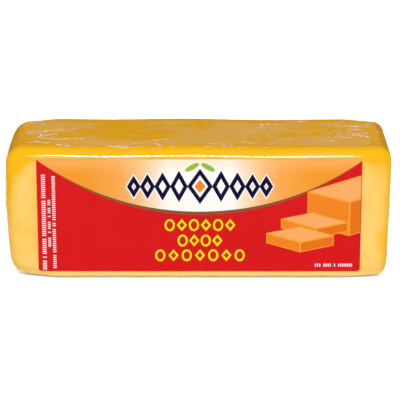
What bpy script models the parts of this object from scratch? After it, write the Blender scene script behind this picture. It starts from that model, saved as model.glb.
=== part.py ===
"""A block of cheddar sealed in tight clear film, with a printed label on its front.

Metres, +Z up. The origin is the middle of the block's base, on the surface that the block stands on.
The label faces -Y and the block's length runs along X.
"""

import math

import bmesh
import bpy
from mathutils import Vector

# The loaf: a long bar of nearly square section
LOAF_LENGTH = 0.2920
LOAF_DEPTH = 0.1000
LOAF_HEIGHT = 0.1014
LONG_EDGE_RADIUS = 0.0060
LEFT_END_ROUNDING = 0.0128
RIGHT_END_ROUNDING = 0.0086
LEFT_CORNER_RADIUS = 0.0145
RIGHT_CORNER_RADIUS = 0.0105
LEFT_BACK_TOP_RADIUS = 0.0160
RIGHT_BACK_TOP_RADIUS = 0.0125
FRONT_TOP_RADIUS = 0.0075
END_FACE_CORNER_RADIUS = 0.0080
FLARE_LENGTH = 0.0230

# How the soft loaf has settled out of its mould
LEFT_SWELL = 0.0030
RIGHT_SWELL = 0.0005
LEFT_TAPER = 0.0027
RIGHT_LEAN = 0.0025
SIDE_SWELL = 0.0006
TOP_CROWN = 0.0006
TOP_LEAN = 0.0005
WAVE_HEIGHT = 0.0004
WAVE_LENGTH = 0.1280
TOP_WAVE_START = 2.1
SIDE_WAVE_START = 1.0

# The bag's welded seam, shrunk flat across each end
SEAM_HEIGHT = 0.0560
SEAM_HALF_WIDTH = 0.0030
SEAM_SLOPE = 0.0040
SEAM_FADE = 0.0120
SEAM_PROUD = 0.0008

# The label on the front
LABEL_LENGTH = 0.2452
LABEL_BOTTOM = 0.0066
LABEL_TOP = 0.0952
LABEL_SHIFT = 0.0006
LABEL_THICKNESS = 0.0003
LABEL_GAP = 0.0003
LABEL_CORNER_RADIUS = 0.0022

# Grid cells of the loaf's surface
END_STEPS = 6
CORNER_STEPS = 3
CELLS_ALONG = 36 + 2 * END_STEPS
CELLS_DEEP = 10 + 2 * CORNER_STEPS
CELLS_HIGH = 12 + 2 * CORNER_STEPS
LABEL_CELLS_ALONG = 30
LABEL_CELLS_HIGH = 20
LABEL_CORNER_SEGMENTS = 4


def clear_scene():
    """Removes whatever the scene starts with."""
    for leftover in list(bpy.data.objects):
        bpy.data.objects.remove(leftover)


def smooth_step(value):
    """Rises smoothly from 0 to 1 as the value does."""
    held = min(max(value, 0.0), 1.0)
    return held * held * (3.0 - 2.0 * held)


def plastic(name, colour, roughness):
    """A glossy non-metal of one colour."""
    material = bpy.data.materials.new(name)
    material.use_nodes = True
    shader = material.node_tree.nodes["Principled BSDF"]
    shader.inputs["Base Color"].default_value = (*colour, 1.0)
    shader.inputs["Roughness"].default_value = roughness
    shader.inputs["Metallic"].default_value = 0.0
    return material


def end_rounding(along):
    """How far the loaf is rounded over towards its left or its right end."""
    return LEFT_END_ROUNDING if along < 0.0 else RIGHT_END_ROUNDING


def ring_station(index):
    """Where one ring of the grid is along the loaf, and how far the end's rounding draws it in."""
    from_end = min(index, CELLS_ALONG - index)
    side = -1.0 if index < CELLS_ALONG - index else 1.0
    half = LOAF_LENGTH / 2
    if from_end <= END_STEPS:
        rounding = end_rounding(side)
        angle = math.radians(90.0) * from_end / END_STEPS
        along = side * (half - rounding * (1.0 - math.cos(angle)))
        return along, rounding * (1.0 - math.sin(angle))
    share = (index - END_STEPS) / (CELLS_ALONG - 2 * END_STEPS)
    left_stop = LEFT_END_ROUNDING - half
    right_stop = half - RIGHT_END_ROUNDING
    return left_stop + share * (right_stop - left_stop), 0.0


def corner_radius(along, front, up):
    """The radius that a corner of the section reaches at the loaf's end.

    front and up go from 0 to 1, from the back to the front and from the base to the top. The lower corners are
    alike, the one at the back and the top is the roundest, and the one at the front and the top the crispest.
    """
    lower = LEFT_CORNER_RADIUS if along < 0.0 else RIGHT_CORNER_RADIUS
    back_top = LEFT_BACK_TOP_RADIUS if along < 0.0 else RIGHT_BACK_TOP_RADIUS
    upper = back_top + front * (FRONT_TOP_RADIUS - back_top)
    return lower + up * (upper - lower)


def section_radius(along, inset, front, up):
    """The radius of a corner of the section: small along the bar, larger where it meets the ends."""
    full_radius = corner_radius(along, front, up)
    flare_start = LOAF_LENGTH / 2 - end_rounding(along) - FLARE_LENGTH
    flare = smooth_step((abs(along) - flare_start) / FLARE_LENGTH)
    radius = LONG_EDGE_RADIUS + flare * (full_radius - LONG_EDGE_RADIUS)
    return radius + (END_FACE_CORNER_RADIUS - full_radius) * inset / end_rounding(along)


def grid_line(index, cells):
    """A grid line's place on the flat of a side, and its lean round the corner, both from -1 to 1."""
    flat_cells = cells - 2 * CORNER_STEPS
    step = index - CORNER_STEPS
    quarter = math.radians(45.0)
    if step < 0:
        return -1.0, math.tan(quarter * step / CORNER_STEPS)
    if step > flat_cells:
        return 1.0, math.tan(quarter * (step - flat_cells) / CORNER_STEPS)
    return 2.0 * step / flat_cells - 1.0, 0.0


def section_point(line_y, line_z, inset, radius):
    """A point on the rounded outline across the loaf, or inside the outline on an end face."""
    flat_y, lean_y = line_y
    flat_z, lean_z = line_z
    reach = max(abs(lean_y), abs(lean_z))
    length = math.hypot(lean_y, lean_z) or 1.0
    y = flat_y * (LOAF_DEPTH / 2 - inset - radius) + radius * reach * lean_y / length
    z = flat_z * (LOAF_HEIGHT / 2 - inset - radius) + radius * reach * lean_z / length
    return y, z + LOAF_HEIGHT / 2


def front_surface(along, high):
    """The front's Y at a point of the straight loaf, with the rounding of its upper and lower edges."""
    up = 1.0 if high > LOAF_HEIGHT / 2 else 0.0
    radius = section_radius(along, 0.0, 1.0, up)
    past_flat = max(abs(high - LOAF_HEIGHT / 2) - (LOAF_HEIGHT / 2 - radius), 0.0)
    return radius - LOAF_DEPTH / 2 - math.sqrt(radius**2 - past_flat**2)


def settle(point):
    """Moves a point of the straight moulded loaf to where the soft block has settled."""
    along = point.x / (LOAF_LENGTH / 2)
    deep = point.y / (LOAF_DEPTH / 2)
    high = point.z / LOAF_HEIGHT
    mid_length = max(1.0 - along**2, 0.0)
    mid_depth = max(1.0 - deep**2, 0.0)
    mid_height = max(4.0 * high * (1.0 - high), 0.0)
    if along < 0.0:
        end_shift = LEFT_SWELL * mid_depth * mid_height - LEFT_TAPER * (1.0 - high) ** 2
    else:
        end_shift = RIGHT_SWELL * mid_depth * mid_height + RIGHT_LEAN * (high - 0.5)
    wave = math.tau * point.x / WAVE_LENGTH
    x = point.x + along**3 * end_shift
    y = point.y + deep**3 * SIDE_SWELL * mid_length * mid_height
    y += WAVE_HEIGHT * mid_height * math.sin(wave + SIDE_WAVE_START)
    top_shift = TOP_CROWN * mid_length * mid_depth - TOP_LEAN * along
    top_shift += WAVE_HEIGHT * math.sin(wave + TOP_WAVE_START)
    z = point.z + high**3 * top_shift
    return Vector((x, y, z))


def seam_relief(point):
    """How far the welded seam across an end stands out at a point of the end face."""
    past_crest = abs(point.z - SEAM_HEIGHT) - SEAM_HALF_WIDTH
    to_edge = LOAF_DEPTH / 2 - end_rounding(point.x) - abs(point.y)
    return SEAM_PROUD * smooth_step(1.0 - past_crest / SEAM_SLOPE) * smooth_step(to_edge / SEAM_FADE)


def cut_into_grid(mesh, axis, cells):
    """Loop cuts a cube across one axis into that many cells."""
    edges = [edge for edge in mesh.edges if abs((edge.verts[0].co - edge.verts[1].co)[axis]) > 1.0]
    bmesh.ops.subdivide_edges(mesh, edges=edges, cuts=cells - 1, use_grid_fill=True)


def place_on_loaf(corner):
    """Moves one corner of the gridded unit cube to its place on the loaf."""
    cells = (CELLS_ALONG, CELLS_DEEP, CELLS_HIGH)
    index = [round((value + 1.0) / 2.0 * count) for value, count in zip(corner, cells)]
    along, inset = ring_station(index[0])
    line_y = grid_line(index[1], CELLS_DEEP)
    line_z = grid_line(index[2], CELLS_HIGH)
    front = (1.0 - line_y[0]) / 2
    up = (1.0 + line_z[0]) / 2
    y, z = section_point(line_y, line_z, inset, section_radius(along, inset, front, up))
    place = Vector((along, y, z))
    if index[0] in (0, CELLS_ALONG):
        place.x += math.copysign(seam_relief(place), along)
    return settle(place)


def build_block(parent, collection):
    """The cheese in its film: a cube cut into a grid, with each corner moved to its place on the loaf."""
    grid = bmesh.new()
    bmesh.ops.create_cube(grid, size=2.0)
    for axis, cells in enumerate((CELLS_ALONG, CELLS_DEEP, CELLS_HIGH)):
        cut_into_grid(grid, axis, cells)
    for vertex in grid.verts:
        vertex.co = place_on_loaf(vertex.co)
    mesh = bpy.data.meshes.new("cheddar_block")
    grid.to_mesh(mesh)
    grid.free()
    mesh.shade_smooth()
    mesh.materials.append(plastic("cheddar_in_film", (0.86, 0.48, 0.06), 0.25))
    block = bpy.data.objects.new("cheddar_block", mesh)
    block.parent = parent
    collection.objects.link(block)


def build_label(parent, collection):
    """The printed label: a thin sheet with rounded corners that follows the block's front."""
    height = LABEL_TOP - LABEL_BOTTOM
    middle = (LABEL_TOP + LABEL_BOTTOM) / 2
    sheet = bmesh.new()
    bmesh.ops.create_grid(sheet, x_segments=LABEL_CELLS_ALONG, y_segments=LABEL_CELLS_HIGH, size=0.5)
    corners = [vertex for vertex in sheet.verts if len(vertex.link_edges) == 2]
    for vertex in sheet.verts:
        across, up = vertex.co.x, vertex.co.y
        vertex.co = (LABEL_SHIFT + across * LABEL_LENGTH, 0.0, middle + up * height)
    bmesh.ops.bevel(
        sheet,
        geom=corners,
        offset=LABEL_CORNER_RADIUS,
        segments=LABEL_CORNER_SEGMENTS,
        profile=0.5,
        affect="VERTICES",
    )
    for vertex in sheet.verts:
        vertex.co.y = front_surface(vertex.co.x, vertex.co.z) - LABEL_GAP
        vertex.co = settle(vertex.co)
    mesh = bpy.data.meshes.new("front_label")
    sheet.to_mesh(mesh)
    sheet.free()
    mesh.materials.append(plastic("label_print", (0.70, 0.01, 0.01), 0.35))
    label = bpy.data.objects.new("front_label", mesh)
    thickness = label.modifiers.new("thickness", "SOLIDIFY")
    thickness.thickness = LABEL_THICKNESS
    thickness.offset = 1.0
    label.parent = parent
    collection.objects.link(label)


def main():
    """Builds the block and its label, both carried by one empty at the origin."""
    clear_scene()
    collection = bpy.data.collections.new("cheddar_pack")
    bpy.context.scene.collection.children.link(collection)
    pack = bpy.data.objects.new("pack", None)
    collection.objects.link(pack)
    build_block(pack, collection)
    build_label(pack, collection)


main()
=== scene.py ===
"""Looks for a block of cheddar in tight clear film with a printed label on its front."""

import math
import random

import bmesh
import bpy
from mathutils import Matrix, Vector


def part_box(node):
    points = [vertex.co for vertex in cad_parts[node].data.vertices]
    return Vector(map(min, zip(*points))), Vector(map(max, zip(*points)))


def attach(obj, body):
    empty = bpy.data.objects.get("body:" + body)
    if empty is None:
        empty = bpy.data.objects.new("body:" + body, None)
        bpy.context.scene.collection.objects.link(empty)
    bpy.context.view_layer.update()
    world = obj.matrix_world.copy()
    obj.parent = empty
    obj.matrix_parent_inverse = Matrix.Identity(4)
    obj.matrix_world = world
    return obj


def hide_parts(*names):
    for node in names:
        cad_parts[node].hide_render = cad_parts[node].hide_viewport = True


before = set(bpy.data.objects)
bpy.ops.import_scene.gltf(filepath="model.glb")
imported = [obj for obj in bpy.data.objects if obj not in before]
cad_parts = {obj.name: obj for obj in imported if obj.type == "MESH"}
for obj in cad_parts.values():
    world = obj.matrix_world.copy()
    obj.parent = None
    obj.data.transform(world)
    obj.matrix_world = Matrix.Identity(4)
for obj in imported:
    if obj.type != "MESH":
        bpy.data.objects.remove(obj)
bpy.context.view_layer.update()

# The camera, which stands square to the front and looks a little down
CAMERA_AIM = (0.0015, 0.0, 0.0478)
CAMERA_DISTANCE = 1.600
CAMERA_ELEVATION = 17.43
VIEW_WIDTH = 0.3134
SENSOR_WIDTH = 36.0

# The loaf and the film round it
FILM_CLEARANCE = 0.00025
FILM_FINENESS = 2
MERGE_DISTANCE = 0.00001
# The film doesn't pucker below this height, or where its normal points down past this
BASE_FLAT = 0.0015
UNDERSIDE = -0.5
# How far it puckers where it is loose, the share of that on the front, and where the front is fully held
LOOSE_FILM = 0.00055
TIGHT_FILM = 0.20
FULLY_HELD = 0.8
SWELL_SIZE = 0.030
# Its mirror share seen square on, and what is added at a grazing look
FILM_MIRROR = 0.075
FILM_GRAZING = 0.12
FILM_GLOSS_ROUGHNESS = 0.15
PUCKER_DEPTH = 0.00006

# The label, a sheet stuck on the film
LABEL_COLUMNS = 62
LABEL_ROWS = 22
LABEL_CORNER = 0.0022
LABEL_CORNER_SEGMENTS = 6
LABEL_STANDOFF = 0.005
LABEL_LIFT = 0.00035
LABEL_THICKNESS = 0.00014
PRINT_LIFT = 0.00004
PRINT_PLANE = -0.0560
INK_STEP = 0.00003
INK_ROUGHNESS = 0.38
INK_SHINE = 0.03

# Half the block's size, and how far from an edge the film is still drawn tight
HALF_LENGTH = 0.1480
HALF_DEPTH = 0.0507
HALF_HEIGHT = 0.0512
TIGHT_REACH = 0.0130
LOOSE_REACH = 0.0270
# The milky share in the film's loose patches, partly its own haze and partly a painted reflection
PATCH_HAZE_AND_SHEEN = 0.070

# Where the front begins behind its rounded edge, and where it is the flat face
FRONT_EDGE_Y = -0.0440
FRONT_FACE_Y = -0.0490
# The cheese is painted a lighter golden where the front light falls, fading in over the front part of the
# top
PAINTED_LIT_FROM_Y = -0.0270
PAINTED_LIT_FULL_Y = -0.0450
# Where the end faces begin, and where they are flat
END_EDGE_X = 0.1440
END_FACE_X = 0.1460
# The painted pale light along the block's foot, for the floor's bounce and reflection
FOOT_TOP_Z = 0.0075
FOOT_FULL_Z = 0.0040

# The line inside which a painted pale reflection of the soft front light lies on the cheese: straight, with
# rounded upper corners
REFLECTION_CORNER_X = 0.1125
REFLECTION_CORNER_Z = 0.0665
REFLECTION_RADIUS = 0.0315
REFLECTION_SOFT = 0.0070
REFLECTION_WANDER = 0.036
REFLECTION_FADE_Z = 0.0975
REFLECTION_END_Z = 0.1005
END_REFLECTION_CORNER_Y = 0.0130

# The folds and creases of the film
FOLD_LENGTH = 0.0200
FOLD_WIDTH = 0.0014
FOLD_CELLS = 12
FOLD_BOW = 0.0030
FOLD_SWAY = 0.00060
FOLD_TIP = 0.06
FOLD_START = 0.0003
FOLD_LIFT = 0.00006
FOLD_HEIGHT = 0.00016
FOLD_SHAPES = 7
CAST_START = 0.1
LONG_FOLD_WIDTHS = (0.0012, 0.0017)
# Each long fold on the top that shows on its own, from one end to the other, as X and Y
LONG_FOLDS = (
    ((-0.1327, -0.0002), (-0.1015, 0.0097)),
    ((0.0908, -0.0255), (0.1057, -0.0205)),
    ((0.1143, -0.0066), (0.1400, -0.0138)),
    ((-0.1254, -0.0233), (-0.1193, -0.0228)),
    ((-0.0560, -0.0400), (-0.0447, -0.0395)),
    ((-0.0328, -0.0303), (-0.0287, -0.0441)),
    ((0.0818, -0.0398), (0.0845, -0.0402)),
    ((0.0880, -0.0400), (0.0915, -0.0396)),
    ((0.1175, -0.0398), (0.1213, -0.0402)),
)
# Each zone of short folds on the top: how many, its reach in X and in Y, and their turn in degrees
TOP_ZONES = (
    (10, (-0.138, -0.095), (-0.036, 0.040), 35),
    (8, (0.105, 0.139), (-0.040, 0.035), 40),
    (6, (-0.095, 0.105), (-0.044, -0.030), 25),
    (6, (-0.095, 0.105), (-0.030, 0.044), 30),
)
TOP_Z = 0.1
TOP_FOLD_LENGTHS = (0.007, 0.026)
TOP_FOLD_WIDTHS = (0.00028, 0.00055)
# The folds that fan out from both tips of an end's seam, and the short ones among them
END_X = 0.147
TIP_Y = 0.040
FAN_FOLDS = 16
FAN_TURN = 75
FAN_REACH = (0.006, 0.030)
FAN_LENGTHS = (0.006, 0.020)
FAN_WIDTHS = (0.0008, 0.0016)
SEAM_MARGIN = 0.006
END_SHORT_FOLDS = 8
END_SHORT_TURN = 50
END_SHORT_Z = (0.008, 0.094)
END_SHORT_LENGTHS = (0.004, 0.010)
END_SHORT_WIDTHS = (0.0007, 0.0012)
# The folds on the back
BACK_FOLDS = 34
BACK_TURN = 60
BACK_Y = 0.05
BACK_X = (-0.135, 0.135)
BACK_Z = (0.008, 0.096)
BACK_LENGTHS = (0.004, 0.015)
BACK_WIDTHS = (0.0004, 0.0008)

# The bag's welded seam across each end, pressed flat
SEAM_HEIGHT = 0.0560
SEAM_LENGTH = 0.0800
SEAM_WIDTH = 0.0085
SEAM_CELLS = 44
SEAM_RIBS = 5
SEAM_DROP = 0.35
SEAM_RAGGED = (-0.0010, 0.0004)
SEAM_START_X = 0.150
SEAM_LIFT = 0.00025
SEAM_RIB_HEIGHT = 0.00030
SEAM_THICKNESS = 0.00012

# The panel's lower edge is an arc, hung between the label's upper corners
ARC_MIDDLE_X = 0.0015
ARC_HALF_SPAN = 0.1219
ARC_TIPS_Z = 0.0943
ARC_LOWEST_Z = 0.0545
SHADE_LINE = 0.0026

# The printed ornament in the panel's middle, a row of lozenges, each as its width and height
ORNAMENT_X = 0.0015
ORNAMENT_Z = 0.0745
MIDDLE_LOZENGE = (0.0195, 0.0280)
SIDE_LOZENGES = ((0.0135, 0.0250), (0.0125, 0.0225), (0.0115, 0.0200), (0.0105, 0.0175))
LOZENGE_OVERLAP = 0.0006
LOZENGE_STROKE = 0.0030
OUTLINE_MARGIN = 0.0008
HEART_WIDTH = 0.0085
HEART_HEIGHT = 0.0105
LEAF_LENGTH = 0.0120
LEAF_WIDTH = 0.0040
LEAF_TURN = 30
LEAF_OUT = 0.0060
LEAF_UP = 0.0150

# The rows of small yellow marks, each as its middle height, its number of marks and their pitch
MARK_WIDTH = 0.0078
MARK_HEIGHT = 0.0096
MARK_STROKE = 0.0014
RING_CORNERS = 16
MARK_ROWS = ((0.0438, 6, 0.0092), (0.0314, 4, 0.0088), (0.0195, 7, 0.0101))

# The lines of fine white ticks
TICK_PITCH = 0.00080
TICKS_LEFT_OUT = 0.14

# The drawing of cheese
HEXAGON_RADIUS = 0.01
CHEESE_RIM = 0.0006
PICTURE_MARGIN = 0.0005

# The floor and the room
FLOOR_SIZE = 3.8
FLOOR_Z = -0.0004
FLOOR_GLOW = 0.30
FLOOR_DEEP = (0.93, 0.93, 0.93)
FLOOR_LIGHT = (0.95, 0.95, 0.95)
ROOM_DIM = (0.03, 0.03, 0.032)
ROOM_SEEN = (0.90, 0.90, 0.90)

# Colours of the cheese: behind, over the tight edges, painted lighter to the front, painted pale with
# reflection on the upright faces, and painted pale with the floor's light along the foot
AMBER_DEEP = (0.540, 0.255, 0.006)
AMBER_LIGHT = (0.575, 0.290, 0.010)
AMBER_EDGE = (0.500, 0.218, 0.006)
PAINTED_LIT_GOLDEN = (0.745, 0.400, 0.006)
PAINTED_REFLECTION_DEEP = (0.775, 0.460, 0.075)
PAINTED_REFLECTION_LIGHT = (0.800, 0.540, 0.155)
PAINTED_FOOT_LIGHT = (0.925, 0.640, 0.190)
# Colours of the film where it is milky, partly its own haze and partly painted reflection and glints
HAZE_AND_SHEEN_WHITE = (0.90, 0.86, 0.82, 1.0)
FOLD_WHITE_AND_GLINT = (0.92, 0.90, 0.87, 1.0)

# Inks
RED = (0.48, 0.0067, 0.0085)
PANEL_ORANGE = (0.655, 0.238, 0.021)
PANEL_WHITE = (0.70, 0.685, 0.65)
# Painted highlight: the panel's top pales towards the gloss along the front-top edge
PANEL_PAINTED_HIGHLIGHT = (0.69, 0.42, 0.17)
# The panel's fade from white to orange: each stop is ten times the distance from its middle in metres
PANEL_WHITE_STOP = 0.24
PANEL_ORANGE_STOP = 0.86
PANEL_STOPS = ((0.36, (0.70, 0.52, 0.34)), (0.48, (0.69, 0.37, 0.15)), (0.62, (0.675, 0.28, 0.055)))
SHADE_BROWN = (0.185, 0.063, 0.022)
NAVY = (0.0035, 0.004, 0.032)
MARK_YELLOW = (0.573, 0.60, 0.003)
PAPER_WHITE = (0.70, 0.70, 0.69)
ACCENT_ORANGE = (0.66, 0.170, 0.010)
LEAF_GREEN = (0.20, 0.36, 0.035)
CHEESE_LIGHT = (0.672, 0.290, 0.090)
CHEESE_MIDDLE = (0.620, 0.168, 0.011)
CHEESE_DARK = (0.560, 0.125, 0.007)
CHEESE_EDGE = (0.660, 0.262, 0.024)


def leave_edit_mode():
    """Goes back to object mode with nothing selected."""
    if bpy.context.mode != "OBJECT":
        bpy.ops.object.mode_set(mode="OBJECT")
    bpy.ops.object.select_all(action="DESELECT")


def take_up(piece):
    """Selects one piece alone."""
    leave_edit_mode()
    piece.select_set(True)
    bpy.context.view_layer.objects.active = piece


def edit(piece):
    """Opens a piece in edit mode with nothing selected."""
    take_up(piece)
    bpy.ops.object.mode_set(mode="EDIT")
    bpy.ops.mesh.select_all(action="DESELECT")


def middle_of(face):
    """The middle of a face."""
    return face.calc_center_median()


def pick(piece, kind, wanted):
    """In edit mode, selects the vertices or faces that are wanted, and no others."""
    bpy.ops.mesh.select_mode(type=kind)
    bpy.ops.mesh.select_all(action="DESELECT")
    mesh = bmesh.from_edit_mesh(piece.data)
    for item in {"VERT": mesh.verts, "FACE": mesh.faces}[kind]:
        if wanted(item):
            item.select_set(True)
    mesh.select_flush_mode()
    bmesh.update_edit_mesh(piece.data)


def finish_modifier(piece, kind, **settings):
    """Adds a modifier with these settings and applies it."""
    take_up(piece)
    modifier = piece.modifiers.new(kind.title(), kind)
    for name, value in settings.items():
        setattr(modifier, name, value)
    bpy.ops.object.modifier_apply(modifier=modifier.name)


def name_piece(name):
    """Names the piece that was just added, and its mesh."""
    piece = bpy.context.object
    piece.name = name
    piece.data.name = name
    return piece


def place_in_mesh(piece):
    """Moves a piece's place, turn and size into its mesh."""
    take_up(piece)
    bpy.ops.object.transform_apply(location=True, rotation=True, scale=True)


def dress(piece, material, node):
    """Gives a piece its finish, unless it has its own, and says what it rides on and stands for."""
    if material is not None:
        piece.data.materials.clear()
        piece.data.materials.append(material)
    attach(piece, "root")
    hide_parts(node)


def new_finish(name):
    """A fresh material's tree, with its shader and its output."""
    material = bpy.data.materials.new(name)
    material.use_nodes = True
    tree = material.node_tree
    return material, tree, tree.nodes["Principled BSDF"], tree.nodes["Material Output"]


def join(tree, out_socket, in_socket):
    """Links two sockets."""
    tree.links.new(out_socket, in_socket)


def maths(tree, operation, first, second=None):
    """A Math node on sockets or plain numbers, and its result."""
    node = tree.nodes.new("ShaderNodeMath")
    node.operation = operation
    for socket, value in zip(node.inputs, (first, second)):
        if value is None:
            continue
        if isinstance(value, (int, float)):
            socket.default_value = value
        else:
            join(tree, value, socket)
    return node.outputs[0]


def ramp_between(tree, value, low, high, start=0.0, stop=1.0):
    """Rises smoothly from start to stop as a value goes from low to high."""
    node = tree.nodes.new("ShaderNodeMapRange")
    node.interpolation_type = "SMOOTHSTEP"
    join(tree, value, node.inputs["Value"])
    for name, number in (("From Min", low), ("From Max", high), ("To Min", start), ("To Max", stop)):
        node.inputs[name].default_value = number
    return node.outputs["Result"]


def noise(tree, scale, detail=3.0, roughness=0.5, stretch=(1.0, 1.0, 1.0), shift=(0.0, 0.0, 0.0)):
    """Noise on the piece's own coordinates, from 0 to 1."""
    coordinates = tree.nodes.new("ShaderNodeTexCoord")
    mapping = tree.nodes.new("ShaderNodeMapping")
    mapping.inputs["Scale"].default_value = stretch
    mapping.inputs["Location"].default_value = shift
    join(tree, coordinates.outputs["Object"], mapping.inputs["Vector"])
    texture = tree.nodes.new("ShaderNodeTexNoise")
    texture.inputs["Scale"].default_value = scale
    texture.inputs["Detail"].default_value = detail
    texture.inputs["Roughness"].default_value = roughness
    join(tree, mapping.outputs["Vector"], texture.inputs["Vector"])
    return texture.outputs["Fac"]


def place_axes(tree):
    """The piece's own X, Y and Z."""
    coordinates = tree.nodes.new("ShaderNodeTexCoord")
    split = tree.nodes.new("ShaderNodeSeparateXYZ")
    join(tree, coordinates.outputs["Object"], split.inputs[0])
    return split.outputs["X"], split.outputs["Y"], split.outputs["Z"]


def square(tree, value):
    """A socket's value times itself."""
    return maths(tree, "MULTIPLY", value, value)


def over_edges(tree, reach):
    """Where the film is drawn tight over the block's edges: 1 there, and 0 past the reach on each face."""
    x, y, z = place_axes(tree)
    above_middle = maths(tree, "SUBTRACT", z, HALF_HEIGHT)
    closeness = 0.0
    for place, half in ((x, HALF_LENGTH), (y, HALF_DEPTH), (above_middle, HALF_HEIGHT)):
        inside = maths(tree, "SUBTRACT", half, maths(tree, "ABSOLUTE", place))
        closeness = maths(tree, "ADD", ramp_between(tree, inside, reach, 0.0020), closeness)
    return ramp_between(tree, closeness, 1.0, 1.7)


def loose_patches(tree):
    """Where the film lies a little off the cheese: 1 in wandering patches, 0 at the edges and the front."""
    spread = noise(tree, 17.0, detail=4.0, roughness=0.55, stretch=(0.7, 1.0, 1.0), shift=(0.3, 0.1, 0.0))
    pull = maths(tree, "MULTIPLY", over_edges(tree, LOOSE_REACH), 0.30)
    patches = ramp_between(tree, maths(tree, "SUBTRACT", spread, pull), 0.42, 0.49)
    _, y, _ = place_axes(tree)
    behind_front = ramp_between(tree, y, FRONT_FACE_Y, FRONT_EDGE_Y)
    return maths(tree, "MULTIPLY", patches, behind_front)


def blend_colours(tree, share, first, second):
    """A colour that goes from the first to the second as the share goes from 0 to 1."""
    node = tree.nodes.new("ShaderNodeMix")
    node.data_type = "RGBA"
    join(tree, share, node.inputs["Factor"])
    for socket, colour in ((node.inputs[6], first), (node.inputs[7], second)):
        if isinstance(colour, tuple):
            socket.default_value = (*colour, 1.0)
        else:
            join(tree, colour, socket)
    return node.outputs[2]


def relief(tree, height, depth, shader):
    """Bumps a shader's surface by a height from 0 to 1 that stands for a depth in metres."""
    bump = tree.nodes.new("ShaderNodeBump")
    bump.inputs["Distance"].default_value = depth
    bump.inputs["Strength"].default_value = 1.0
    join(tree, height, bump.inputs["Height"])
    join(tree, bump.outputs["Normal"], shader.inputs["Normal"])
    return bump


def cheddar_finish():
    """Yellow-orange cheese: deeper where the film clings, with painted light: lighter golden on the front,
    a pale reflection on the upright faces and a pale glow along the foot.
    """
    material, tree, shader, _ = new_finish("cheddar")
    x, y, z = place_axes(tree)
    clouds = noise(tree, 26.0, detail=4.0, roughness=0.55)
    blotches = noise(tree, 34.0, detail=2.0, stretch=(0.8, 1.0, 1.0), shift=(0.2, 0.6, 0.1))
    amber = blend_colours(tree, clouds, AMBER_DEEP, AMBER_LIGHT)
    edges = over_edges(tree, TIGHT_REACH)
    amber = blend_colours(tree, edges, amber, AMBER_EDGE)
    # Painted light: a lighter golden on the front and over its top edge, where the front light falls, and
    # amber elsewhere
    fore = ramp_between(tree, y, PAINTED_LIT_FROM_Y, PAINTED_LIT_FULL_Y)
    front = ramp_between(tree, y, FRONT_EDGE_Y, FRONT_FACE_Y)
    lit_share = maths(tree, "MULTIPLY", fore, maths(tree, "MAXIMUM", over_edges(tree, LOOSE_REACH), front))
    deep = blend_colours(tree, lit_share, amber, PAINTED_LIT_GOLDEN)
    pale = blend_colours(tree, ramp_between(tree, blotches, 0.30, 0.62), PAINTED_REFLECTION_DEEP, PAINTED_REFLECTION_LIGHT)
    # A painted pale reflection of the soft front light covers each upright face inside a line with rounded
    # upper corners
    past_z = maths(tree, "MAXIMUM", maths(tree, "SUBTRACT", z, REFLECTION_CORNER_Z), 0.0)
    wander = maths(tree, "MULTIPLY", maths(tree, "SUBTRACT", blotches, 0.45), REFLECTION_WANDER)
    reflection_shares = []
    for place, corner in ((x, REFLECTION_CORNER_X), (y, END_REFLECTION_CORNER_Y)):
        past = maths(tree, "MAXIMUM", maths(tree, "SUBTRACT", maths(tree, "ABSOLUTE", place), corner), 0.0)
        reach = maths(tree, "POWER", maths(tree, "ADD", square(tree, past), square(tree, past_z)), 0.5)
        reach = maths(tree, "ADD", reach, wander)
        reflection_shares.append(ramp_between(tree, reach, REFLECTION_RADIUS + REFLECTION_SOFT, REFLECTION_RADIUS - REFLECTION_SOFT))
    on_end = ramp_between(tree, maths(tree, "ABSOLUTE", x), END_EDGE_X, END_FACE_X)
    reflection_share = maths(tree, "MAXIMUM", reflection_shares[0], maths(tree, "MULTIPLY", reflection_shares[1], on_end))
    reflection_share = maths(tree, "MULTIPLY", reflection_share, ramp_between(tree, z, REFLECTION_END_Z, REFLECTION_FADE_Z))
    colour = blend_colours(tree, reflection_share, deep, pale)
    # Painted pale light along the foot, for the floor's bounce and reflection
    colour = blend_colours(tree, ramp_between(tree, z, FOOT_TOP_Z, FOOT_FULL_Z), colour, PAINTED_FOOT_LIGHT)
    join(tree, colour, shader.inputs["Base Color"])
    shader.inputs["Roughness"].default_value = 0.55
    shader.inputs["Specular IOR Level"].default_value = 0.0
    shader.inputs["Subsurface Weight"].default_value = 0.15
    shader.inputs["Subsurface Radius"].default_value = (1.0, 0.5, 0.12)
    shader.inputs["Subsurface Scale"].default_value = 0.004
    relief(tree, noise(tree, 300.0, detail=2.0), 0.0001, shader)
    return material


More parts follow.
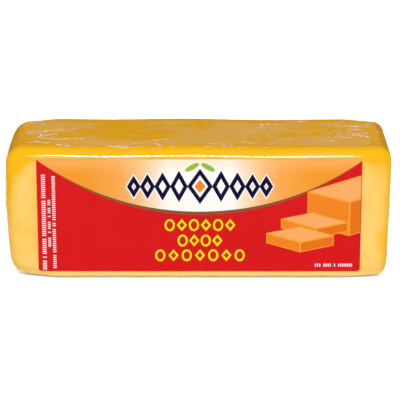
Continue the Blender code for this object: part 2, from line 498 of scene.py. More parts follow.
def film_finish():
    """Tight clear film: see-through and glossy, milky in patches, partly its own haze and partly a painted
    reflection, and with milky painted glints along fine creases.
    """
    material, tree, shader, output = new_finish("clear_film")
    clear = tree.nodes.new("ShaderNodeBsdfTransparent")
    gloss = tree.nodes.new("ShaderNodeBsdfGlossy")
    gloss.inputs["Color"].default_value = (1.0, 1.0, 1.0, 1.0)
    gloss.inputs["Roughness"].default_value = FILM_GLOSS_ROUGHNESS
    gloss.distribution = "BECKMANN"
    slant = tree.nodes.new("ShaderNodeLayerWeight")
    grazing = maths(tree, "POWER", slant.outputs["Facing"], 5.0)
    mirror = maths(tree, "ADD", maths(tree, "MULTIPLY", grazing, FILM_GRAZING), FILM_MIRROR)
    slack = maths(tree, "SUBTRACT", 1.0, over_edges(tree, TIGHT_REACH))
    puckers = noise(tree, 180.0, detail=3.0, roughness=0.6, stretch=(0.6, 1.0, 1.0))
    puckers = maths(tree, "MULTIPLY", puckers, ramp_between(tree, slack, 0.0, 1.0, 0.12, 1.0))
    bump = relief(tree, puckers, PUCKER_DEPTH, gloss)
    join(tree, bump.outputs["Normal"], slant.inputs["Normal"])
    # Painted glints of fine wrinkles run as milky lines where a slow noise passes through its middle value,
    # mostly at the shoulders
    x, y, _ = place_axes(tree)
    wander = noise(tree, 70.0, detail=3.0, roughness=0.55, stretch=(0.6, 1.0, 1.0))
    off_line = maths(tree, "ABSOLUTE", maths(tree, "SUBTRACT", wander, 0.5))
    wrinkle_glints = ramp_between(tree, off_line, 0.012, 0.002, 0.0, 0.50)
    shoulders = ramp_between(tree, maths(tree, "ABSOLUTE", x), 0.080, 0.120, 0.0, 0.10)
    cover = maths(tree, "ADD", noise(tree, 45.0, detail=2.0, shift=(0.7, 0.2, 0.4)), shoulders)
    wrinkle_glints = maths(tree, "MULTIPLY", wrinkle_glints, ramp_between(tree, cover, 0.50, 0.64))
    wrinkle_glints = maths(tree, "MULTIPLY", wrinkle_glints, ramp_between(tree, y, FRONT_FACE_Y, FRONT_EDGE_Y))
    wrinkle_glints = maths(tree, "MULTIPLY", wrinkle_glints, slack)
    # The milky share: the painted glints, and the loose patches, partly the film's own haze and partly a
    # painted reflection
    haze_and_sheen = maths(tree, "ADD", wrinkle_glints, maths(tree, "MULTIPLY", loose_patches(tree), PATCH_HAZE_AND_SHEEN))
    shader.inputs["Base Color"].default_value = HAZE_AND_SHEEN_WHITE
    shader.inputs["Roughness"].default_value = 0.35
    hazy = tree.nodes.new("ShaderNodeMixShader")
    join(tree, haze_and_sheen, hazy.inputs[0])
    join(tree, clear.outputs[0], hazy.inputs[1])
    join(tree, shader.outputs[0], hazy.inputs[2])
    both = tree.nodes.new("ShaderNodeMixShader")
    join(tree, mirror, both.inputs[0])
    join(tree, hazy.outputs[0], both.inputs[1])
    join(tree, gloss.outputs[0], both.inputs[2])
    join(tree, both.outputs[0], output.inputs["Surface"])
    return material


def milky_finish(name, least, most):
    """Folded or welded film, milky between a least and a most share, with a bright gloss. On the folds the
    milky white is partly the film's whitening and partly painted glints.
    """
    material, tree, shader, output = new_finish(name)
    shader.inputs["Base Color"].default_value = FOLD_WHITE_AND_GLINT
    shader.inputs["Roughness"].default_value = 0.20
    clear = tree.nodes.new("ShaderNodeBsdfTransparent")
    milky = ramp_between(tree, noise(tree, 240.0, detail=3.0), 0.42, 0.66, least, most)
    both = tree.nodes.new("ShaderNodeMixShader")
    join(tree, milky, both.inputs[0])
    join(tree, clear.outputs[0], both.inputs[1])
    join(tree, shader.outputs[0], both.inputs[2])
    join(tree, both.outputs[0], output.inputs["Surface"])
    return material


def satin_print(tree, shader):
    """The faint grain and low gloss of print on a plastic label."""
    shader.inputs["Roughness"].default_value = INK_ROUGHNESS
    shader.inputs["Specular IOR Level"].default_value = INK_SHINE
    relief(tree, noise(tree, 900.0, detail=1.0), 0.00002, shader)


def ink_finish(name, colour):
    """One flat printing ink, a little uneven."""
    material, tree, shader, _ = new_finish(name)
    lighter = tuple(min(channel * 1.06 + 0.001, 1.0) for channel in colour)
    uneven = blend_colours(tree, noise(tree, 45.0, detail=4.0), colour, lighter)
    join(tree, uneven, shader.inputs["Base Color"])
    satin_print(tree, shader)
    return material


def panel_finish():
    """The label's upper panel: white in the middle, fading to orange on both sides, with a painted
    highlight along its top.
    """
    material, tree, shader, _ = new_finish("panel_print")
    x, _, z = place_axes(tree)
    off_middle = maths(tree, "ABSOLUTE", maths(tree, "SUBTRACT", x, ARC_MIDDLE_X))
    fade = tree.nodes.new("ShaderNodeValToRGB")
    stops = fade.color_ramp.elements
    stops[0].position = PANEL_WHITE_STOP
    stops[0].color = (*PANEL_WHITE, 1.0)
    stops[1].position = PANEL_ORANGE_STOP
    stops[1].color = (*PANEL_ORANGE, 1.0)
    for position, colour in PANEL_STOPS:
        stop = stops.new(position)
        stop.color = (*colour, 1.0)
    join(tree, maths(tree, "MULTIPLY", off_middle, 10.0), fade.inputs[0])
    # Painted highlight: the top of the panel pales below the gloss along the front-top edge
    painted_highlight = ramp_between(tree, z, 0.0840, 0.0935, 0.0, 0.30)
    colour = blend_colours(tree, painted_highlight, fade.outputs[0], PANEL_PAINTED_HIGHLIGHT)
    join(tree, colour, shader.inputs["Base Color"])
    satin_print(tree, shader)
    return material


def copy_block(name):
    """A copy of the block's solid as one smooth, closed mesh of squares."""
    leave_edit_mode()
    piece = bpy.data.objects.new(name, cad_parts["cheddar_block"].data.copy())
    piece.data.name = name
    bpy.context.scene.collection.objects.link(piece)
    edit(piece)
    bpy.ops.mesh.select_all(action="SELECT")
    bpy.ops.mesh.remove_doubles(threshold=MERGE_DISTANCE)
    bpy.ops.mesh.tris_convert_to_quads(face_threshold=math.radians(40), shape_threshold=math.radians(60))
    bpy.ops.mesh.normals_make_consistent(inside=False)
    leave_edit_mode()
    finish_modifier(piece, "SUBSURF", levels=FILM_FINENESS, render_levels=FILM_FINENESS)
    take_up(piece)
    bpy.ops.object.shade_smooth()
    return piece


def looseness(place, normal):
    """How freely the film can pucker at a point: least on the front, and not at all on the base."""
    if place.z < BASE_FLAT or normal.z < UNDERSIDE:
        return 0.0
    held = min(max(-normal.y / FULLY_HELD, 0.0), 1.0)
    return 1.0 - (1.0 - TIGHT_FILM) * held


def wrap_film():
    """The film: the block's surface, puckered outwards where nothing holds it flat."""
    film = copy_block("film_wrap")
    loose = film.vertex_groups.new(name="loose")
    for vertex in film.data.vertices:
        loose.add([vertex.index], looseness(vertex.co, vertex.normal), "REPLACE")
    swells = bpy.data.textures.new("film_swells", "CLOUDS")
    swells.noise_scale = SWELL_SIZE
    swells.noise_depth = 2
    finish_modifier(
        film,
        "DISPLACE",
        texture=swells,
        texture_coords="LOCAL",
        strength=LOOSE_FILM,
        mid_level=0.0,
        vertex_group="loose",
    )
    return film


def shape_cheese():
    """The cheese, a hair smaller than its film all round."""
    cheese = copy_block("cheddar_loaf")
    edit(cheese)
    bpy.ops.mesh.select_all(action="SELECT")
    bpy.ops.transform.shrink_fatten(value=-FILM_CLEARANCE)
    leave_edit_mode()
    return cheese


def copy_with_mesh(master, name):
    """A copy of a master piece with a mesh of its own."""
    leave_edit_mode()
    piece = master.copy()
    piece.data = master.data.copy()
    piece.name = name
    bpy.context.scene.collection.objects.link(piece)
    return piece


def join_into(pieces, name):
    """Joins pieces into one, under one name."""
    take_up(pieces[0])
    for piece in pieces:
        piece.select_set(True)
    if len(pieces) > 1:
        bpy.ops.object.join()
    return name_piece(name)


def shape_fold(name):
    """A fold of film: a thin strip that wanders and tapers at both ends, with a ridge along its middle."""
    leave_edit_mode()
    bpy.ops.mesh.primitive_grid_add(x_subdivisions=FOLD_CELLS, y_subdivisions=4, size=1.0)
    fold = name_piece(name)
    fold.scale = (FOLD_LENGTH, FOLD_WIDTH, 1.0)
    place_in_mesh(fold)
    cell = FOLD_LENGTH / FOLD_CELLS
    edit(fold)
    sway = 0.0
    bow = random.uniform(-FOLD_BOW, FOLD_BOW)
    for index in range(FOLD_CELLS + 1):
        station = -FOLD_LENGTH / 2 + cell * index
        taper = max(math.sin(math.pi * index / FOLD_CELLS), FOLD_TIP) * random.uniform(0.6, 1.0)
        sway += random.uniform(-FOLD_SWAY, FOLD_SWAY)
        bowed = bow * math.sin(math.pi * index / FOLD_CELLS)
        pick(fold, "VERT", lambda vertex: abs(vertex.co.x - station) < cell / 3)
        bpy.ops.transform.resize(value=(1.0, taper, 1.0))
        bpy.ops.transform.translate(value=(0.0, sway + bowed, 0.0))
    leave_edit_mode()
    ridge = fold.vertex_groups.new(name="ridge")
    middle_row = range(2 * (FOLD_CELLS + 1) + 1, 3 * (FOLD_CELLS + 1) - 1)
    ridge.add(list(middle_row), 1.0, "REPLACE")
    return fold


def surface_at(film, spot, inward):
    """Where a straight line in a given direction meets the film, and the film's normal there."""
    start = Vector(spot) - Vector(inward) * CAST_START
    found, place, normal, _ = film.ray_cast(start, Vector(inward))
    return place, normal


def lay_fold(film, spot, inward, along, length, width):
    """Lays a copy of one of the folds on the film, at a spot and along a direction."""
    place, normal = surface_at(film, spot, inward)
    run = Vector(along) - normal * normal.dot(Vector(along))
    run.normalize()
    across = normal.cross(run)
    fold = copy_with_mesh(random.choice(FOLDS), "fold")
    turn = Matrix((run, across, normal)).transposed().to_4x4()
    size = Matrix.Diagonal((length / FOLD_LENGTH, width / FOLD_WIDTH, 1.0, 1.0))
    fold.matrix_world = Matrix.Translation(place + normal * FOLD_START) @ turn @ size
    place_in_mesh(fold)
    return fold


def press_folds(folds, film, name):
    """Joins folds into one piece, presses them onto the film and raises their middles."""
    piece = join_into(folds, name)
    finish_modifier(piece, "SHRINKWRAP", target=film, wrap_mode="ABOVE_SURFACE", offset=FOLD_LIFT)
    finish_modifier(piece, "DISPLACE", strength=FOLD_HEIGHT, mid_level=0.0, vertex_group="ridge")
    take_up(piece)
    bpy.ops.object.shade_smooth()
    dress(piece, FOLDED_FILM_AND_GLINTS, "cheddar_block")


def turned(base, sideways, spread):
    """A direction turned at random out of a base direction, by up to the spread in degrees."""
    angle = math.radians(random.uniform(-spread, spread))
    return Vector(base) * math.cos(angle) + Vector(sideways) * math.sin(angle)


def top_folds(film):
    """Folds on the top: the long ones, short ones crowded at both ends, and a few between."""
    down = (0.0, 0.0, -1.0)
    folds = []
    for (start_x, start_y), (end_x, end_y) in LONG_FOLDS:
        spot = ((start_x + end_x) / 2, (start_y + end_y) / 2, TOP_Z)
        along = Vector((end_x - start_x, end_y - start_y, 0.0))
        folds.append(lay_fold(film, spot, down, along, along.length, random.uniform(*LONG_FOLD_WIDTHS)))
    for count, reach_x, reach_y, spread in TOP_ZONES:
        for _ in range(count):
            spot = (random.uniform(*reach_x), random.uniform(*reach_y), TOP_Z)
            along = turned((1.0, 0.0, 0.0), (0.0, 1.0, 0.0), spread)
            length = random.uniform(*TOP_FOLD_LENGTHS)
            width = random.uniform(*TOP_FOLD_WIDTHS)
            folds.append(lay_fold(film, spot, down, along, length, width))
    press_folds(folds, film, "top_folds")


def end_folds(film, side, name):
    """Folds on one end: a fan from each tip of its seam, clear of the seam, and short ones between."""
    inward = (-side, 0.0, 0.0)
    folds = []
    for tip in (-1.0, 1.0):
        for _ in range(FAN_FOLDS):
            angle = math.radians(random.uniform(-FAN_TURN, FAN_TURN))
            reach = random.uniform(*FAN_REACH)
            fan = Vector((0.0, -tip * math.cos(angle), math.sin(angle)))
            spot = Vector((side * END_X, tip * TIP_Y, SEAM_HEIGHT)) + fan * reach
            if abs(spot.z - SEAM_HEIGHT) < SEAM_MARGIN:
                continue
            length = random.uniform(*FAN_LENGTHS)
            width = random.uniform(*FAN_WIDTHS)
            folds.append(lay_fold(film, spot, inward, fan, length, width))
    for _ in range(END_SHORT_FOLDS):
        spot = (side * END_X, random.uniform(-TIP_Y, TIP_Y), random.uniform(*END_SHORT_Z))
        along = turned((0.0, 0.0, 1.0), (0.0, 1.0, 0.0), END_SHORT_TURN)
        length = random.uniform(*END_SHORT_LENGTHS)
        width = random.uniform(*END_SHORT_WIDTHS)
        folds.append(lay_fold(film, spot, inward, along, length, width))
    press_folds(folds, film, name)


def back_folds(film):
    """Short folds on the back, most of them along the loaf more than across it."""
    folds = []
    for _ in range(BACK_FOLDS):
        spot = (random.uniform(*BACK_X), BACK_Y, random.uniform(*BACK_Z))
        along = turned((1.0, 0.0, 0.0), (0.0, 0.0, 1.0), BACK_TURN)
        length = random.uniform(*BACK_LENGTHS)
        width = random.uniform(*BACK_WIDTHS)
        folds.append(lay_fold(film, spot, (0.0, -1.0, 0.0), along, length, width))
    press_folds(folds, film, "back_folds")


def weld_seam(film, side, name):
    """The welded seam across one end: a flat ribbed band with a ragged lower edge, pressed on the film."""
    leave_edit_mode()
    bpy.ops.mesh.primitive_grid_add(
        x_subdivisions=SEAM_CELLS,
        y_subdivisions=2 * SEAM_RIBS,
        size=1.0,
        location=(side * SEAM_START_X, 0.0, SEAM_HEIGHT - SEAM_WIDTH * SEAM_DROP),
        rotation=(math.radians(90), 0.0, math.radians(90 * side)),
    )
    seam = name_piece(name)
    seam.scale = (SEAM_LENGTH, SEAM_WIDTH, 1.0)
    place_in_mesh(seam)
    lowest = SEAM_HEIGHT - SEAM_WIDTH * (SEAM_DROP + 0.5)
    edit(seam)
    for index in range(SEAM_CELLS + 1):
        station = -SEAM_LENGTH / 2 + SEAM_LENGTH * index / SEAM_CELLS
        pick(
            seam,
            "VERT",
            lambda vertex: abs(vertex.co.y - station) < 0.0005 and vertex.co.z < lowest + 0.0001,
        )
        bpy.ops.transform.translate(value=(0.0, 0.0, random.uniform(*SEAM_RAGGED)))
    leave_edit_mode()
    ribs = seam.vertex_groups.new(name="ribs")
    for vertex in seam.data.vertices:
        row = round((vertex.co.z - lowest) / SEAM_WIDTH * 2 * SEAM_RIBS)
        if row % 2 == 1:
            ribs.add([vertex.index], 1.0, "REPLACE")
    finish_modifier(seam, "SHRINKWRAP", target=film, wrap_mode="ABOVE_SURFACE", offset=SEAM_LIFT)
    finish_modifier(seam, "DISPLACE", strength=SEAM_RIB_HEIGHT, mid_level=0.0, vertex_group="ribs")
    finish_modifier(seam, "SOLIDIFY", thickness=SEAM_THICKNESS, offset=1.0)
    take_up(seam)
    bpy.ops.object.shade_smooth()
    dress(seam, WELDED_FILM, "cheddar_block")


def lay_on(piece, backing, lift):
    """Presses a flat upright piece back onto what lies behind it, as high above it as the lift."""
    finish_modifier(
        piece,
        "SHRINKWRAP",
        target=backing,
        wrap_method="PROJECT",
        use_project_y=True,
        use_positive_direction=True,
        use_negative_direction=False,
        offset=lift,
    )


def arc_height(x, extra_drop=0.0):
    """The height of the panel's lower edge at a place along the label."""
    drop = ARC_TIPS_Z - ARC_LOWEST_Z + extra_drop
    radius = (ARC_HALF_SPAN**2 + drop**2) / (2 * drop)
    across = min(abs(x - ARC_MIDDLE_X), radius)
    return ARC_TIPS_Z - drop + radius - math.sqrt(radius**2 - across**2)


def cut_along_arc(label, edges_x, extra_drop):
    """Cuts the label's sheet along the panel's arc, one straight cut in each column of faces."""
    for left, right in zip(edges_x, edges_x[1:]):
        low = Vector((left, 0.0, arc_height(left, extra_drop)))
        high = Vector((right, 0.0, arc_height(right, extra_drop)))
        across = Vector((low.z - high.z, 0.0, high.x - low.x)).normalized()
        pick(label, "FACE", lambda face: left < middle_of(face).x < right)
        bpy.ops.mesh.bisect(plane_co=low, plane_no=across, threshold=0.00002)


def make_label(film):
    """The label's sheet, cut into its red field, the line of shade and the pale panel."""
    low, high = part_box("front_label")
    size = high - low
    middle = (low + high) / 2
    leave_edit_mode()
    bpy.ops.mesh.primitive_grid_add(
        x_subdivisions=LABEL_COLUMNS,
        y_subdivisions=LABEL_ROWS,
        size=1.0,
        location=(middle.x, low.y - LABEL_STANDOFF, middle.z),
        rotation=(math.radians(90), 0.0, 0.0),
    )
    label = name_piece("label_sheet")
    label.scale = (size.x, size.z, 1.0)
    place_in_mesh(label)
    column = size.x / LABEL_COLUMNS
    edges_x = [low.x + column * index for index in range(LABEL_COLUMNS + 1)]
    edit(label)
    cut_along_arc(label, edges_x, 0.0)
    cut_along_arc(label, edges_x, SHADE_LINE)
    pick(label, "VERT", lambda vertex: len(vertex.link_edges) == 2 and vertex.is_boundary)
    bpy.ops.mesh.bevel(offset=LABEL_CORNER, segments=LABEL_CORNER_SEGMENTS, affect="VERTICES")
    leave_edit_mode()
    for ink in (RED_INK, SHADE_INK, PANEL_INK, LABEL_EDGE):
        label.data.materials.append(ink)
    for face in label.data.polygons:
        above_shade = face.center.z > arc_height(face.center.x, SHADE_LINE)
        above_arc = face.center.z > arc_height(face.center.x)
        face.material_index = int(above_shade) + int(above_arc)
    lay_on(label, film, LABEL_LIFT)
    finish_modifier(label, "SOLIDIFY", thickness=LABEL_THICKNESS, offset=1.0, material_offset_rim=3)
    return label


def flat_shape(name, corners, x, z, width, height, turn=0.0):
    """A flat shape with equal corners, upright before the label, turned in degrees."""
    leave_edit_mode()
    bpy.ops.mesh.primitive_circle_add(
        vertices=corners,
        radius=0.5,
        fill_type="NGON",
        location=(x, PRINT_PLANE, z),
        rotation=(math.radians(90), math.radians(turn), 0.0),
    )
    piece = name_piece(name)
    piece.scale = (width, height, 1.0)
    place_in_mesh(piece)
    return piece


def hollow_out(piece, stroke):
    """Leaves only a stroke of a flat shape, along its edge."""
    edit(piece)
    bpy.ops.mesh.select_all(action="SELECT")
    bpy.ops.mesh.inset(thickness=stroke)
    bpy.ops.mesh.delete(type="FACE")
    leave_edit_mode()
    return piece


def print_on(pieces, name, ink, layer, label):
    """Joins flat shapes into one piece of print and lays it on the label, layer over layer."""
    piece = join_into(pieces, name)
    lay_on(piece, label, PRINT_LIFT + INK_STEP * layer)
    dress(piece, ink, "front_label")


def lozenge_row():
    """The middle and size of each lozenge in the ornament's row, as (offset, width, height)."""
    row = [(0.0, *MIDDLE_LOZENGE)]
    place = MIDDLE_LOZENGE[0] / 2
    for width, height in SIDE_LOZENGES:
        place += width / 2 - LOZENGE_OVERLAP
        row.append((place, width, height))
        row.append((-place, width, height))
        place += width / 2
    return row


def print_ornament(label):
    """A row of navy lozenges edged in white, with an orange heart and two green leaves over it."""
    edging = []
    lozenges = []
    for offset, width, height in lozenge_row():
        x = ORNAMENT_X + offset
        slant = math.hypot(width, height)
        grown_width = width + 2 * OUTLINE_MARGIN * slant / height
        grown_height = height + 2 * OUTLINE_MARGIN * slant / width
        back = flat_shape("edging", 4, x, ORNAMENT_Z, grown_width, grown_height)
        edging.append(hollow_out(back, LOZENGE_STROKE + 2 * OUTLINE_MARGIN))
        front = flat_shape("lozenge", 4, x, ORNAMENT_Z, width, height)
        lozenges.append(hollow_out(front, LOZENGE_STROKE))
    print_on(edging, "ornament_edging", WHITE_INK, 0, label)
    print_on(lozenges, "ornament_lozenges", NAVY_INK, 1, label)
    heart = flat_shape("heart", 4, ORNAMENT_X, ORNAMENT_Z, HEART_WIDTH, HEART_HEIGHT)
    print_on([heart], "ornament_heart", ORANGE_INK, 1, label)
    leaves = []
    for side in (-1.0, 1.0):
        x = ORNAMENT_X + side * LEAF_OUT
        leaf = flat_shape("leaf", 12, x, ORNAMENT_Z + LEAF_UP, LEAF_LENGTH, LEAF_WIDTH, side * LEAF_TURN)
        leaves.append(leaf)
    print_on(leaves, "ornament_leaves", GREEN_INK, 1, label)


def print_marks(label):
    """Three rows of small yellow marks, rings and lozenges by turns."""
    marks = []
    for z, count, pitch in MARK_ROWS:
        for index in range(count):
            x = ORNAMENT_X + (index - (count - 1) / 2) * pitch
            corners = 4 if index % 2 else RING_CORNERS
            mark = flat_shape("mark", corners, x, z, MARK_WIDTH, MARK_HEIGHT)
            marks.append(hollow_out(mark, MARK_STROKE))
    print_on(marks, "yellow_marks", YELLOW_INK, 0, label)


def tick_line(name, x, z, length, height, upright):
    """A line of fine ticks: a long grid with every second cell taken out, and some more for gaps."""
    cells = round(length / TICK_PITCH)
    leave_edit_mode()
    bpy.ops.mesh.primitive_grid_add(
        x_subdivisions=cells,
        y_subdivisions=1,
        size=1.0,
        location=(x, PRINT_PLANE, z),
        rotation=(math.radians(90), math.radians(-90 if upright else 0), 0.0),
    )
    ticks = name_piece(name)
    ticks.scale = (length, height, 1.0)
    place_in_mesh(ticks)
    gone = set()
    for cell in range(cells):
        if cell % 2 or random.random() < TICKS_LEFT_OUT:
            gone.add(cell)
    axis = 2 if upright else 0
    first = (z if upright else x) - length / 2
    cell_size = length / cells
    edit(ticks)
    pick(ticks, "FACE", lambda face: int((middle_of(face)[axis] - first) / cell_size) in gone)
    bpy.ops.mesh.delete(type="FACE")
    leave_edit_mode()
    return ticks


def print_fine_lines(label):
    """Lines of fine white ticks: three upright columns on the left and a short line on the right."""
    lines = [
        tick_line("column", x=-0.1171, z=0.0461, length=0.0765, height=0.0030, upright=True),
        tick_line("column", x=-0.1131, z=0.0454, length=0.0380, height=0.0020, upright=True),
        tick_line("column", x=-0.1094, z=0.0461, length=0.0740, height=0.0024, upright=True),
        tick_line("line", x=0.1040, z=0.0115, length=0.0290, height=0.0024, upright=False),
    ]
    print_on(lines, "fine_lines", WHITE_INK, 0, label)


def drawn_slab(near, left, right, drop):
    """A drawn slab of cheese: its near corner, the edges that go left and right from it, and its drop."""
    leave_edit_mode()
    corner = Vector((near[0], PRINT_PLANE, near[1]))
    to_left = Vector((left[0], 0.0, left[1]))
    to_right = Vector((right[0], 0.0, right[1]))
    down = Vector((0.0, 0.0, -drop))
    bpy.ops.mesh.primitive_circle_add(
        vertices=6,
        radius=HEXAGON_RADIUS,
        fill_type="TRIFAN",
        location=corner,
        rotation=(math.radians(90), 0.0, 0.0),
    )
    slab = name_piece("slab")
    place_in_mesh(slab)
    for ink in (CHEESE_EDGE_INK, LIGHT_CHEESE_INK, DARK_CHEESE_INK, MIDDLE_CHEESE_INK):
        slab.data.materials.append(ink)
    edit(slab)
    # The hexagon's corners go to the outline's, from the one at the right end of the right edge on. Each
    # stands a little forward once it is moved, so that it isn't picked again, and all go back at the end.
    ends = (to_right, to_left + to_right, to_left, to_left + down, down, to_right + down)
    forward = Vector((0.0, -0.001, 0.0))
    for index, place in enumerate(ends):
        turn = math.radians(30 + 60 * index)
        start = Vector((math.cos(turn), 0.0, math.sin(turn))) * HEXAGON_RADIUS
        pick(slab, "VERT", lambda vertex: (vertex.co - corner - start).length < 0.001)
        bpy.ops.transform.translate(value=place - start + forward)
    pick(slab, "VERT", lambda vertex: vertex.co.y < PRINT_PLANE - 0.0005)
    bpy.ops.transform.translate(value=-forward)
    # Each side is two triangles that meet at the near corner: the top, the right side and the left side
    for slot, (one, other) in enumerate(((to_left, to_right), (to_right, down), (down, to_left)), start=1):
        halves = (corner + (one * 2 + other) / 3, corner + (one + other * 2) / 3)
        pick(slab, "FACE", lambda face: min((middle_of(face) - half).length for half in halves) < 0.0001)
        bpy.ops.mesh.dissolve_faces()
        bpy.ops.mesh.inset(thickness=CHEESE_RIM)
        slab.active_material_index = slot
        bpy.ops.object.material_slot_assign()
    bpy.ops.mesh.select_all(action="SELECT")
    bpy.ops.mesh.subdivide(number_cuts=3)
    leave_edit_mode()
    return slab


def print_picture(label):
    """A drawing of cheese: a block that runs off the label's right edge, and two slabs before it."""
    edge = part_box("front_label")[1].x - PICTURE_MARGIN
    block = drawn_slab((0.1150, 0.0620), left=(-0.0320, 0.0085), right=(0.0400, 0.0125), drop=0.0270)
    edit(block)
    bpy.ops.mesh.select_all(action="SELECT")
    bpy.ops.mesh.bisect(plane_co=(edge, 0.0, 0.0), plane_no=(1.0, 0.0, 0.0), clear_outer=True)
    leave_edit_mode()
    upper = drawn_slab((0.0900, 0.0410), left=(-0.0270, 0.0080), right=(0.0240, 0.0050), drop=0.0075)
    lower = drawn_slab((0.0780, 0.0300), left=(-0.0260, 0.0075), right=(0.0255, 0.0055), drop=0.0080)
    pieces = [block, upper, lower]
    for layer, slab in enumerate(pieces):
        lay_on(slab, label, PRINT_LIFT + INK_STEP * layer)
    piece = join_into(pieces, "cheese_picture")
    dress(piece, None, "front_label")


def make_floor():
    """A plain pale floor, well past the view."""
    leave_edit_mode()
    bpy.ops.mesh.primitive_plane_add(size=FLOOR_SIZE, location=(0.0, 0.0, FLOOR_Z))
    floor = name_piece("floor")
    material, tree, shader, _ = new_finish("floor_paper")
    colour = blend_colours(tree, noise(tree, 3.0), FLOOR_DEEP, FLOOR_LIGHT)
    join(tree, colour, shader.inputs["Base Color"])
    shader.inputs["Roughness"].default_value = 1.0
    shader.inputs["Specular IOR Level"].default_value = 0.0
    # A light table's faint glow, which only lifts the shadow round the block's foot
    seen = tree.nodes.new("ShaderNodeLightPath").outputs["Is Camera Ray"]
    shader.inputs["Emission Color"].default_value = (1.0, 1.0, 1.0, 1.0)
    join(tree, maths(tree, "MULTIPLY", seen, FLOOR_GLOW), shader.inputs["Emission Strength"])
    floor.data.materials.append(material)
    floor.visible_glossy = False


def add_softbox(name, stand, size, brightness, aim=(0.0, 0.0, 0.05)):
    """A soft light turned towards its aim. Its stand is an azimuth, 0 on the camera's side, an elevation
    and a distance, and its size a width and a height."""
    azimuth, elevation, distance = stand
    width, height = size
    light = bpy.data.lights.new(name, "AREA")
    light.shape = "RECTANGLE"
    light.size = width
    light.size_y = height
    light.energy = brightness * math.pi * width * height
    lamp = bpy.data.objects.new(name, light)
    turn = math.radians(azimuth)
    rise = math.radians(elevation)
    towards = Vector((math.sin(turn) * math.cos(rise), -math.cos(turn) * math.cos(rise), math.sin(rise)))
    lamp.location = Vector(aim) + towards * distance
    lamp.rotation_euler = towards.to_track_quat("Z", "Y").to_euler()
    lamp.visible_camera = False
    bpy.context.scene.collection.objects.link(lamp)
    return lamp


def light_the_set():
    """Soft studio light, mostly from the front and above, with a dim room behind."""
    key = add_softbox("key", stand=(0.0, 47.0, 3.0), size=(2.2, 1.20), brightness=12.0)
    backdrop = add_softbox(
        "backdrop", stand=(180.0, 60.0, 2.6), size=(3.2, 1.2), brightness=3.0, aim=(0.0, 0.6, 0.0)
    )
    left_fill = add_softbox("left_fill", stand=(-80.0, 24.0, 2.2), size=(1.6, 1.2), brightness=2.6)
    right_fill = add_softbox("right_fill", stand=(80.0, 24.0, 2.2), size=(1.6, 1.2), brightness=2.6)
    back_fill = add_softbox("back_fill", stand=(180.0, 30.0, 2.4), size=(2.4, 1.0), brightness=1.6)
    # Two strips side by side, which make the thin line of gloss along the front-top edge
    strip = add_softbox(
        "strip", stand=(0.0, 34.0, 3.0), size=(0.58, 0.70), brightness=12.5, aim=(0.11, 0.0, 0.05)
    )
    strip_end = add_softbox(
        "strip_end", stand=(0.0, 34.0, 3.0), size=(0.22, 0.70), brightness=19.0, aim=(-0.29, 0.0, 0.05)
    )
    # A narrow card along the block's foot, for the gloss of the film under the label
    foot_card = add_softbox(
        "foot_card", stand=(0.0, 90.0, 0.0), size=(0.27, 0.020), brightness=13.0, aim=(0.0, -0.063, 0.0005)
    )
    # Another one, which only lights the foot
    foot_bounce = add_softbox(
        "foot_bounce", stand=(0.0, 90.0, 0.0), size=(0.28, 0.020), brightness=0.3, aim=(0.0, -0.066, 0.0004)
    )
    # A card on the floor before the block, for the gloss of the front
    floor_card = add_softbox(
        "floor_card", stand=(0.0, 90.0, 0.0), size=(0.30, 0.42), brightness=0.9, aim=(0.0, -0.27, 0.0005)
    )
    for lamp in (key, backdrop, left_fill, right_fill, back_fill, foot_bounce):
        lamp.visible_glossy = False
    for lamp in (strip, strip_end, foot_card, floor_card):
        lamp.visible_diffuse = False
    world = bpy.data.worlds.new("dim_room")
    world.use_nodes = True
    background = world.node_tree.nodes["Background"]
    background.inputs["Strength"].default_value = 1.0
    # Pale as the floor where it is seen past the floor's edge, and dim in its light
    seen = world.node_tree.nodes.new("ShaderNodeLightPath").outputs["Is Camera Ray"]
    room = blend_colours(world.node_tree, seen, ROOM_DIM, ROOM_SEEN)
    join(world.node_tree, room, background.inputs["Color"])
    bpy.context.scene.world = world
    bpy.context.scene.view_settings.view_transform = "Standard"


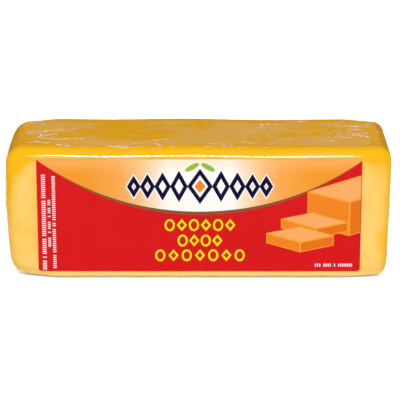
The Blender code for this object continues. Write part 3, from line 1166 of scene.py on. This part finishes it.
def set_camera():
    """The camera, square to the front and a little above it."""
    camera = bpy.data.cameras.new("camera")
    camera.sensor_width = SENSOR_WIDTH
    camera.lens = SENSOR_WIDTH * CAMERA_DISTANCE / VIEW_WIDTH
    rise = math.radians(CAMERA_ELEVATION)
    towards = Vector((0.0, -math.cos(rise), math.sin(rise)))
    stand = bpy.data.objects.new("camera", camera)
    stand.location = Vector(CAMERA_AIM) + towards * CAMERA_DISTANCE
    stand.rotation_euler = towards.to_track_quat("Z", "Y").to_euler()
    bpy.context.scene.collection.objects.link(stand)
    bpy.context.scene.camera = stand


random.seed(11)
RED_INK = ink_finish("red_ink", RED)
SHADE_INK = ink_finish("shade_ink", SHADE_BROWN)
PANEL_INK = panel_finish()
LABEL_EDGE = ink_finish("label_edge", PAPER_WHITE)
WHITE_INK = ink_finish("white_ink", PAPER_WHITE)
NAVY_INK = ink_finish("navy_ink", NAVY)
YELLOW_INK = ink_finish("yellow_ink", MARK_YELLOW)
ORANGE_INK = ink_finish("orange_ink", ACCENT_ORANGE)
GREEN_INK = ink_finish("green_ink", LEAF_GREEN)
LIGHT_CHEESE_INK = ink_finish("light_cheese_ink", CHEESE_LIGHT)
MIDDLE_CHEESE_INK = ink_finish("middle_cheese_ink", CHEESE_MIDDLE)
DARK_CHEESE_INK = ink_finish("dark_cheese_ink", CHEESE_DARK)
CHEESE_EDGE_INK = ink_finish("cheese_edge_ink", CHEESE_EDGE)
# The folds' milky white is partly the film's own whitening and partly painted glints
FOLDED_FILM_AND_GLINTS = milky_finish("folded_film_and_glints", 0.08, 0.95)
WELDED_FILM = milky_finish("welded_film", 0.03, 0.20)
FOLDS = [shape_fold("fold_master") for _ in range(FOLD_SHAPES)]

set_camera()
light_the_set()
make_floor()

film = wrap_film()
cheese = shape_cheese()
dress(cheese, cheddar_finish(), "cheddar_block")
dress(film, film_finish(), "cheddar_block")
label = make_label(film)
dress(label, None, "front_label")
print_ornament(label)
print_marks(label)
print_fine_lines(label)
print_picture(label)

top_folds(film)
end_folds(film, -1.0, "left_end_folds")
end_folds(film, 1.0, "right_end_folds")
back_folds(film)
weld_seam(film, -1.0, "left_weld")
weld_seam(film, 1.0, "right_weld")

leave_edit_mode()
for master in FOLDS:
    bpy.data.objects.remove(master)
